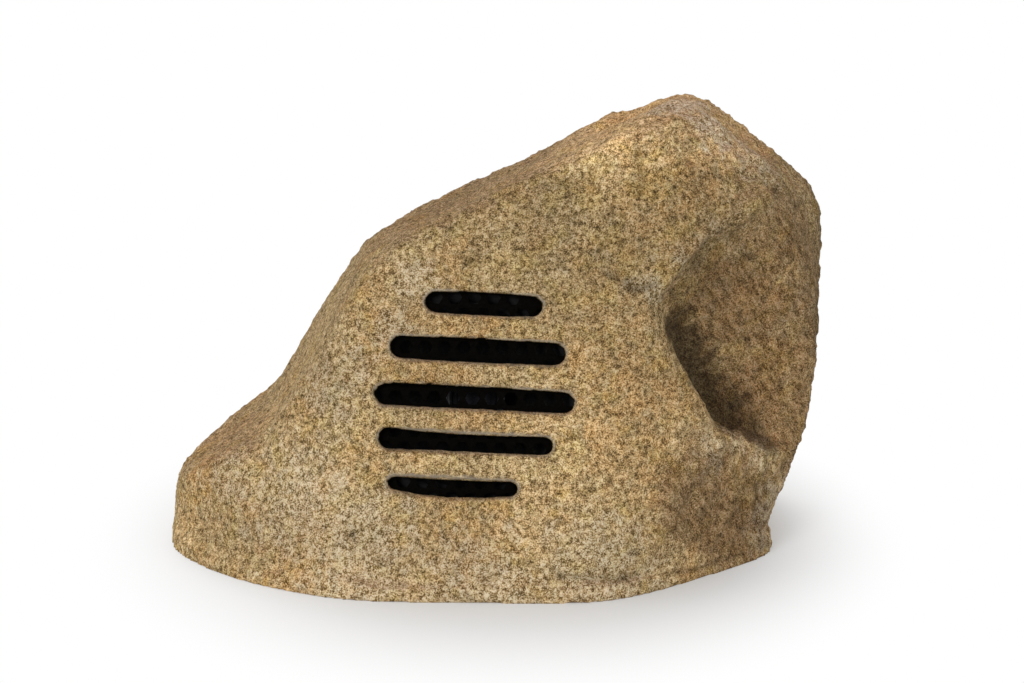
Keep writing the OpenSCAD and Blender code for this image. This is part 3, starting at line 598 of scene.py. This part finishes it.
swell = layer(points, 22, 2, 3.0)
lumps = layer(points, 85, 3, 11.0)
grit = layer(points, 300, 2, 23.0)
rugged = 1 + 1.2 * soften(points[:, 0], 0.10, 0.20) + 0.6 * soften(normals[:, 2], 0.4, 0.8)
push = SWELL_HEIGHT * swell * calm
push += LUMP_HEIGHT * rugged * lumps * (0.25 + 0.75 * calm)
push += GRIT_HEIGHT * grit * (0.35 + 0.65 * calm)
push -= SINK
wander = MARK_WANDER * np.stack([lumps, swell, lumps], axis=1)
# The marks also give the painted shade in cracks and pits
marks, mark_shade = mould_marks(points + wander)
push = (push + marks) * grip
points = points + normals * push[:, None]

low, high = np.array(box_at_start[0]), np.array(box_at_start[1])
points = np.clip(points, low, high)
rock.data.vertices.foreach_set("co", points.ravel())
rock.data.update()
print("roughened by up to", round(float(np.abs(push).max()) * 1000, 2), "mm")

# %% [markdown]
# ## Painting the patches
#
# The photograph shows chalky patches, warm ochre clouds and shaded hollows in certain places. Each
# is a soft ball of paint here: a centre, a radius and a strength. The dark balls are painted shade,
# some chalky balls are painted highlight too, and the redder tint of rough balls is partly painted
# shade. A noise breaks its edge, so no ball is seen. Most of the centres were looked up in the same
# way as the folds and pits.

# %% Where the patches are
# Each spot of paint: centre, radius, strength
# Chalky patches; the spots at the foot, along the ridge and on the knob are partly painted highlight
CHALK_AND_HIGHLIGHT_SPOTS = [
    ((0.119, -0.131, 0.228), 0.011, 0.6), ((0.101, -0.134, 0.230), 0.008, 0.5),
    ((0.184, -0.103, 0.104), 0.015, 0.45), ((0.164, -0.129, 0.097), 0.016, 0.4),
    ((0.204, -0.088, 0.092), 0.016, 0.4), ((0.200, -0.050, 0.315), 0.030, 0.5),
    ((0.124, -0.128, 0.233), 0.008, 0.5), ((0.136, -0.121, 0.249), 0.009, 0.5),
    ((0.152, -0.113, 0.262), 0.009, 0.45), ((0.167, -0.103, 0.271), 0.009, 0.4),
    ((-0.149, -0.145, 0.066), 0.050, 0.5), ((-0.110, -0.168, 0.042), 0.050, 0.5),
    ((-0.126, -0.132, 0.153), 0.030, 0.45), ((-0.061, -0.124, 0.229), 0.016, 0.5),
    ((-0.080, -0.131, 0.196), 0.018, 0.45),
    ((0.077, -0.186, 0.010), 0.055, 0.5), ((-0.012, -0.190, 0.010), 0.050, 0.5),
    ((-0.110, -0.183, 0.008), 0.045, 0.5), ((0.142, -0.038, 0.354), 0.036, 0.9),
    ((0.168, -0.054, 0.339), 0.032, 0.8), ((0.215, -0.073, 0.032), 0.030, 0.5),
    ((-0.206, -0.107, 0.071), 0.030, 0.4)]
OCHRE_CLOUDS = [
    ((-0.149, -0.160, 0.016), 0.040, 0.6), ((-0.050, -0.142, 0.166), 0.026, 0.5),
    ((-0.012, -0.135, 0.200), 0.026, 0.6), ((0.077, -0.144, 0.187), 0.045, 0.45),
    ((0.092, -0.154, 0.147), 0.045, 0.5), ((0.206, -0.063, 0.131), 0.040, 0.4),
    ((-0.012, -0.177, 0.045), 0.035, 0.6), ((-0.227, -0.083, 0.072), 0.035, 0.7),
    ((0.243, -0.046, 0.119), 0.050, 0.3), ((0.187, -0.083, 0.208), 0.045, 0.45),
    ((0.108, -0.157, 0.109), 0.040, 0.45), ((-0.125, -0.060, 0.265), 0.040, 0.6),
    ((0.133, -0.114, 0.290), 0.050, 0.5)]
# Rough patches; in the hollow and at the lower right their redder tint is painted shade too
ROUGH = [
    ((0.187, -0.083, 0.208), 0.055, 0.8), ((0.215, -0.060, 0.260), 0.050, 0.8),
    ((0.206, -0.063, 0.131), 0.045, 1.0), ((0.240, -0.046, 0.200), 0.065, 0.9),
    ((0.189, -0.105, 0.038), 0.055, 1.0), ((0.155, -0.135, 0.063), 0.045, 0.9),
    ((0.250, 0.050, 0.150), 0.120, 0.8), ((0.235, -0.040, 0.090), 0.055, 0.8),
    ((0.170, -0.020, 0.330), 0.060, 0.4)]
# Painted shade: the groove behind the front's right edge, the lower right that faces down, and the
# upper front
SHADED = [
    ((0.134, -0.103, 0.193), 0.020, 0.85), ((0.142, -0.093, 0.172), 0.023, 0.90),
    ((0.150, -0.086, 0.155), 0.024, 0.90), ((0.159, -0.080, 0.137), 0.024, 0.90),
    ((0.171, -0.073, 0.122), 0.024, 0.86), ((0.182, -0.069, 0.109), 0.024, 0.86),
    ((0.194, -0.071, 0.101), 0.021, 0.75), ((0.206, -0.075, 0.096), 0.017, 0.60),
    ((0.155, -0.135, 0.063), 0.045, 0.24), ((0.189, -0.105, 0.038), 0.045, 0.26),
    ((0.124, -0.157, 0.038), 0.035, 0.18), ((0.170, -0.095, 0.242), 0.040, 0.20),
    ((0.048, -0.114, 0.292), 0.035, 0.18), ((0.092, -0.123, 0.271), 0.030, 0.20),
    ((0.133, -0.114, 0.290), 0.050, 0.15)]
print("spots:", sum(len(spots) for spots in (CHALK_AND_HIGHLIGHT_SPOTS, OCHRE_CLOUDS, ROUGH, SHADED)))

# %% [markdown]
# The slots have their own paint. A pale worn lip runs round each mouth, strongest along its top
# edge. A broken dark hem lies just outside the lip, and behind the lip everything is painted
# near-black, a painted shade for the dark inside of the slots, so that the screen can't be seen.

# %% Paint the rock
# How far a noise shifts the edges of the slots' paint
EDGE_RAG = 0.0009
# Where each paint of the slots starts and ends, measured outwards from the slot's side
LIP_STARTS = (-0.0010, 0.0003)
LIP_ENDS = (0.0012, 0.0024)
HEM_STARTS = (0.0012, 0.0020)
HEM_ENDS = (0.0026, 0.0044)
HEM_DARKNESS = 0.42
INSIDE_SHADE_ENDS = (0.0003, 0.0022)
# Where the near-black painted shade starts, measured outwards from the front's plane
INSIDE_SHADE_DEPTH = (-0.0055, -0.0025)


def paint(spots, seed, edge=0.8):
    rag = layer(points, 90, 3, seed)
    total = np.zeros(len(points))
    for centre, radius, strength in spots:
        away = np.linalg.norm(points - np.array(centre), axis=1) / radius
        total = np.maximum(total, strength * soften(1.25 - away + edge * rag, 0, 0.8))
    return np.clip(total, 0, 1)


def keep_paint(piece, name, values):
    attribute = piece.data.attributes.new(name, "FLOAT", "POINT")
    attribute.data.foreach_set("value", values.astype(np.float32))


rag = layer(points, 140, 2, 31.0)
edge = gap + EDGE_RAG * rag
lip = soften(edge, *LIP_STARTS) * (1 - soften(edge, *LIP_ENDS))
lip = lip * (0.35 + 0.65 * soften(above, -0.5, 0.4))
hem = soften(edge, *HEM_STARTS) * (1 - soften(edge, *HEM_ENDS)) * soften(rag, -0.3, 0.4)
behind = (1 - soften(flat[:, 2], *INSIDE_SHADE_DEPTH)) * (1 - soften(gap, *INSIDE_SHADE_ENDS))
# Painted shade: the inner skin, and the slot walls behind the lip, are painted near-black
inside_shade = np.where(outside < 0.5, 1.0, 0) + np.where(near_face, behind, 0)
# Painted shade from the spots, and in cracks and pits
shade = np.maximum(paint(SHADED, 13.0, 0.45), mark_shade)
# Chalky patches and painted highlight
keep_paint(rock, "chalk_and_highlight", paint(CHALK_AND_HIGHLIGHT_SPOTS, 5.0))
keep_paint(rock, "ochre", paint(OCHRE_CLOUDS, 9.0))
keep_paint(rock, "rough", paint(ROUGH, 17.0, 0.5))
# The slots' dark hem is kept with the painted shade
keep_paint(rock, "shade", np.maximum(shade, HEM_DARKNESS * hem * outside))
keep_paint(rock, "lip", lip * outside)
keep_paint(rock, "inside_shade", np.clip(inside_shade, 0, 1))

rock.data.materials.clear()
rock.data.materials.append(sandstone)
rock.data.shade_smooth()
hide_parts("rock_shell")
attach(rock, "rock")
print("painted", len(rock.data.attributes), "attributes")

# %% [markdown]
# ## Finishes for the pieces inside
#
# A driver, a crossover board, a base plate and a cable gland are hidden in the rock. Their finish
# is plain but true: pressed steel in black paint, zinc, ferrite, paper, rubber, varnished copper
# and so on. Most of them differ only in colour, roughness and one fine pattern, so a single
# recipe makes them: a base colour, a second colour that a noise mixes in, and a bump.

# %% Recipe for a plain finish
def plain_finish(name, first, second, roughness, metallic=0.0, scale=300, bump=0.0, spread=0.12):
    material, tree, shader = start_finish(name, first, roughness, metallic)
    place = object_place(tree)
    pattern = cloudy(tree, place, scale, 3.0, 0.6)
    colour = ramp(tree, pattern, [(0.5 - spread, first), (0.5 + spread, second)])
    tree.links.new(colour, shader.inputs["Base Color"])
    if bump:
        node = add_node(tree, "ShaderNodeBump", {
            "Height": pattern, "Strength": 0.5, "Distance": bump})
        tree.links.new(node.outputs["Normal"], shader.inputs["Normal"])
    return material


# Each finish: colour, second colour, roughness, metallic, noise scale, bump depth
PLAIN = {
    "black paint": ((0.012, 0.012, 0.012), (0.020, 0.020, 0.020), 0.48, 0.0, 500, 0.0001),
    # The screen's black paint is made darker still, a painted shade behind the slots
    "screen paint and shade": ((0.0022, 0.0019, 0.0015), (0.0034, 0.0030, 0.0024), 0.80, 0.0, 500, 0.0),
    "machined brass": ((0.66, 0.47, 0.19), (0.58, 0.40, 0.16), 0.34, 1.0, 120, 0.0),
    "black foam": ((0.012, 0.012, 0.012), (0.030, 0.030, 0.030), 0.95, 0.0, 700, 0.0004),
    "blackened screw": ((0.020, 0.020, 0.021), (0.034, 0.034, 0.036), 0.40, 0.6, 200, 0.0),
    "butyl rubber": ((0.008, 0.008, 0.008), (0.012, 0.012, 0.012), 0.75, 0.0, 250, 0.00005),
    "paper cone": ((0.006, 0.006, 0.006), (0.012, 0.012, 0.011), 0.92, 0.0, 420, 0.0002),
    "spider cloth": ((0.52, 0.36, 0.12), (0.62, 0.46, 0.19), 0.88, 0.0, 900, 0.0003),
    "coil former": ((0.40, 0.20, 0.05), (0.46, 0.25, 0.07), 0.42, 0.0, 150, 0.0),
    "copper wire": ((0.50, 0.17, 0.06), (0.62, 0.25, 0.09), 0.32, 0.8, 600, 0.0002),
    "zinc plate": ((0.55, 0.56, 0.55), (0.66, 0.66, 0.62), 0.36, 1.0, 90, 0.0),
    "ferrite": ((0.055, 0.056, 0.060), (0.085, 0.086, 0.090), 0.70, 0.0, 350, 0.0002),
    "fibre board": ((0.22, 0.085, 0.035), (0.30, 0.13, 0.055), 0.75, 0.0, 400, 0.0001),
    "tinned brass": ((0.66, 0.64, 0.54), (0.58, 0.54, 0.42), 0.38, 1.0, 150, 0.0),
    "black plastic": ((0.013, 0.013, 0.014), (0.018, 0.018, 0.019), 0.50, 0.0, 800, 0.00006),
    "nickel plate": ((0.62, 0.61, 0.57), (0.56, 0.55, 0.52), 0.24, 1.0, 100, 0.0),
    "silk dome": ((0.010, 0.010, 0.012), (0.018, 0.018, 0.021), 0.80, 0.0, 1400, 0.0002),
    "wadding": ((0.70, 0.70, 0.67), (0.84, 0.84, 0.81), 0.98, 0.0, 160, 0.002),
    "base board": ((0.035, 0.035, 0.036), (0.055, 0.055, 0.056), 0.68, 0.0, 300, 0.0002),
    "stainless": ((0.58, 0.58, 0.57), (0.66, 0.66, 0.65), 0.28, 1.0, 140, 0.0),
    "nylon": ((0.74, 0.72, 0.64), (0.80, 0.78, 0.71), 0.48, 0.0, 200, 0.0),
    "circuit board": ((0.015, 0.115, 0.045), (0.020, 0.15, 0.060), 0.38, 0.0, 60, 0.0),
    "film capacitor": ((0.52, 0.29, 0.05), (0.60, 0.35, 0.07), 0.26, 0.0, 50, 0.0),
    "cement resistor": ((0.68, 0.66, 0.59), (0.77, 0.75, 0.68), 0.88, 0.0, 500, 0.0002),
    "green plastic": ((0.018, 0.20, 0.055), (0.024, 0.24, 0.070), 0.42, 0.0, 200, 0.0),
    "red wire": ((0.42, 0.016, 0.012), (0.50, 0.022, 0.016), 0.38, 0.0, 150, 0.0)}
finishes = {name: plain_finish(name, *values) for name, values in PLAIN.items()}
# The dark pieces near the slots reflect little, so the slots look black from outside
DULL = {"screen paint and shade": 0.0, "black foam": 0.05, "butyl rubber": 0.08, "paper cone": 0.03,
        "silk dome": 0.08, "black plastic": 0.25, "black paint": 0.25}
for name, level in DULL.items():
    surface = finishes[name].node_tree.nodes["Principled BSDF"]
    surface.inputs["Specular IOR Level"].default_value = level
print("plain finishes:", len(finishes))

# %% [markdown]
# Each CAD piece then gets its finish. The pieces are listed by finish and not one by one, because
# that is how a buyer would read a parts list: all the zinc, all the black plastic, and so on.

# %% Dress the CAD pieces
WEARS = {
    "black paint": ["basket"],
    "screen paint and shade": ["grille_screen"],
    "machined brass": ["driver_inserts", "base_inserts"],
    "black foam": ["driver_gasket", "base_gasket"],
    "blackened screw": ["driver_screws"],
    "butyl rubber": ["surround", "gland_seal"],
    "paper cone": ["cone"],
    "spider cloth": ["spider"],
    "coil former": ["voice_coil_former"],
    "copper wire": ["voice_coil", "tinsel_leads", "tweeter_coil", "woofer_inductor",
                    "tweeter_inductor"],
    "zinc plate": ["top_plate", "yoke", "tweeter_post", "post_nut", "tweeter_pot",
                   "tweeter_plate"],
    "ferrite": ["ring_magnet"],
    "fibre board": ["terminal_strip"],
    "tinned brass": ["terminal_tags"],
    "black plastic": ["tweeter_housing", "tweeter_faceplate", "gland_body", "gland_locknut",
                      "gland_cap"],
    "nickel plate": ["tweeter_magnet"],
    "silk dome": ["tweeter_dome"],
    "wadding": ["damping_pad"],
    "base board": ["base_plate"],
    "stainless": ["base_screws", "board_screws"],
    "nylon": ["standoffs"],
    "circuit board": ["crossover_board"],
    "film capacitor": ["capacitors"],
    "cement resistor": ["resistor"],
    "green plastic": ["terminal_block"],
    "red wire": ["woofer_lead", "tweeter_lead"]}
dressed = 0
for finish, names in WEARS.items():
    for name in names:
        nodes[name].data.materials.clear()
        nodes[name].data.materials.append(finishes[finish])
        dressed += 1
print("dressed", dressed, "CAD pieces")

# %% [markdown]
# ## Floor, light and camera
#
# The photograph was taken on white, with one large soft light at the upper left and a paler one
# from the right. The floor is one large sheet. Near the rock it is matt and keeps the soft grey
# shadow. Further off it fades, to the camera only, into the plain white that the world has too,
# so the background is white without any more light on the rock. The fade also paints white over
# the rock's shadow at its sides, a painted light on the floor.

# %% Floor
FLOOR_GREY = (0.74, 0.74, 0.74)
# The fade to white is an oval: narrower across than front to back, so that it paints white over the
# rock's shadow at its sides
FADE_SQUEEZE = (1.22, 1.0, 1.0)
FADE_FROM = 0.20
FADE_TO = 0.41


def studio_floor():
    mesh = bmesh.new()
    bmesh.ops.create_grid(mesh, x_segments=1, y_segments=1, size=6.0)
    data = bpy.data.meshes.new("floor")
    mesh.to_mesh(data)
    mesh.free()
    floor = bpy.data.objects.new("floor", data)
    bpy.context.scene.collection.objects.link(floor)
    material, tree, shader = start_finish("white floor", FLOOR_GREY, 0.95)
    shader.inputs["Specular IOR Level"].default_value = 0.0
    place = object_place(tree)
    squeezed = add_node(
        tree, "ShaderNodeVectorMath", {0: place, 1: FADE_SQUEEZE}, operation="MULTIPLY")
    away = add_node(tree, "ShaderNodeVectorMath", {0: squeezed.outputs["Vector"]},
                    operation="LENGTH").outputs["Value"]
    far = add_node(tree, "ShaderNodeMapRange", {
        "Value": away, "From Min": FADE_FROM, "From Max": FADE_TO, "To Min": 0.0, "To Max": 1.0},
        interpolation_type="SMOOTHSTEP").outputs["Result"]
    white = add_node(tree, "ShaderNodeEmission", {"Color": (1, 1, 1, 1), "Strength": 1.0})
    mix = add_node(tree, "ShaderNodeMixShader", {
        0: reckon(tree, "MULTIPLY", far, seen_directly(tree))})
    tree.links.new(shader.outputs["BSDF"], mix.inputs[1])
    tree.links.new(white.outputs["Emission"], mix.inputs[2])
    tree.links.new(mix.outputs["Shader"], tree.nodes["Material Output"].inputs["Surface"])
    data.materials.append(material)
    return floor


floor = studio_floor()
print("floor ready")

# %% [markdown]
# Three round soft lights do the work: a strong one in front and to the left, a weak one at the right
# that opens the shadow in the hollow, and one from above and behind. The world fills in the rest.
# It is brighter to the camera than to the rock, so that the background is plain white.

# %% Light
WORLD_ON_THE_ROCK = 0.62
WORLD_AS_SEEN = 1.0


def soft_light(name, place, aim, size, power):
    lamp = bpy.data.lights.new(name, "AREA")
    lamp.shape = "DISK"
    lamp.size = size
    lamp.energy = power
    lit = bpy.data.objects.new(name, lamp)
    lit.location = place
    lit.rotation_euler = (Vector(aim) - Vector(place)).to_track_quat("-Z", "Y").to_euler()
    bpy.context.scene.collection.objects.link(lit)
    return lit


key = soft_light("key light", (-1.15, -2.7, 1.35), (0, 0, 0.10), 1.2, 50)
fill = soft_light("fill light", (2.3, -1.9, 1.2), (0, 0, 0.15), 1.6, 11)
top = soft_light("top light", (-0.3, 0.9, 2.5), (0, 0, 0.1), 1.8, 20)


def white_world():
    world = bpy.data.worlds.new("studio")
    world.use_nodes = True
    tree = world.node_tree
    sky = tree.nodes["Background"]
    strength = add_node(tree, "ShaderNodeMapRange", {
        "Value": seen_directly(tree), "From Min": 0, "From Max": 1,
        "To Min": WORLD_ON_THE_ROCK, "To Max": WORLD_AS_SEEN})
    tree.links.new(strength.outputs["Result"], sky.inputs["Strength"])
    sky.inputs["Color"].default_value = (1, 1, 1, 1)
    return world


bpy.context.scene.world = white_world()
print("lights: 3")

# %% [markdown]
# The camera stands where the photographer's did: a little above the rock, thirteen degrees down,
# with a long lens. The small shift puts the rock where it is in the photograph.

# %% Camera and view
PICTURE_WIDTH = 1024
PICTURE_MIDDLE = (512, 341.5)
# The focal length in widths of one pixel, and the pixel that shows the point aimed at
FOCAL_PIXELS = 2750
AIM_PIXEL = (496.6, 311)
SENSOR_WIDTH = 36
DISTANCE = 2.2
ELEVATION = math.radians(13.0)
AIM = Vector((0, 0, 0.18))


def camera_at(distance, elevation, aim):
    data = bpy.data.cameras.new("camera")
    data.sensor_width = SENSOR_WIDTH
    data.lens = FOCAL_PIXELS / PICTURE_WIDTH * SENSOR_WIDTH
    data.shift_x = (PICTURE_MIDDLE[0] - AIM_PIXEL[0]) / PICTURE_WIDTH
    data.shift_y = -(PICTURE_MIDDLE[1] - AIM_PIXEL[1]) / PICTURE_WIDTH
    camera = bpy.data.objects.new("camera", data)
    back = Vector((0, -math.cos(elevation), math.sin(elevation)))
    camera.location = aim + distance * back
    camera.rotation_euler = (-back).to_track_quat("-Z", "Y").to_euler()
    bpy.context.scene.collection.objects.link(camera)
    return camera


scene = bpy.context.scene
scene.camera = camera_at(DISTANCE, ELEVATION, AIM)
scene.view_settings.view_transform = "Standard"
print("camera at", [round(v, 3) for v in scene.camera.location])
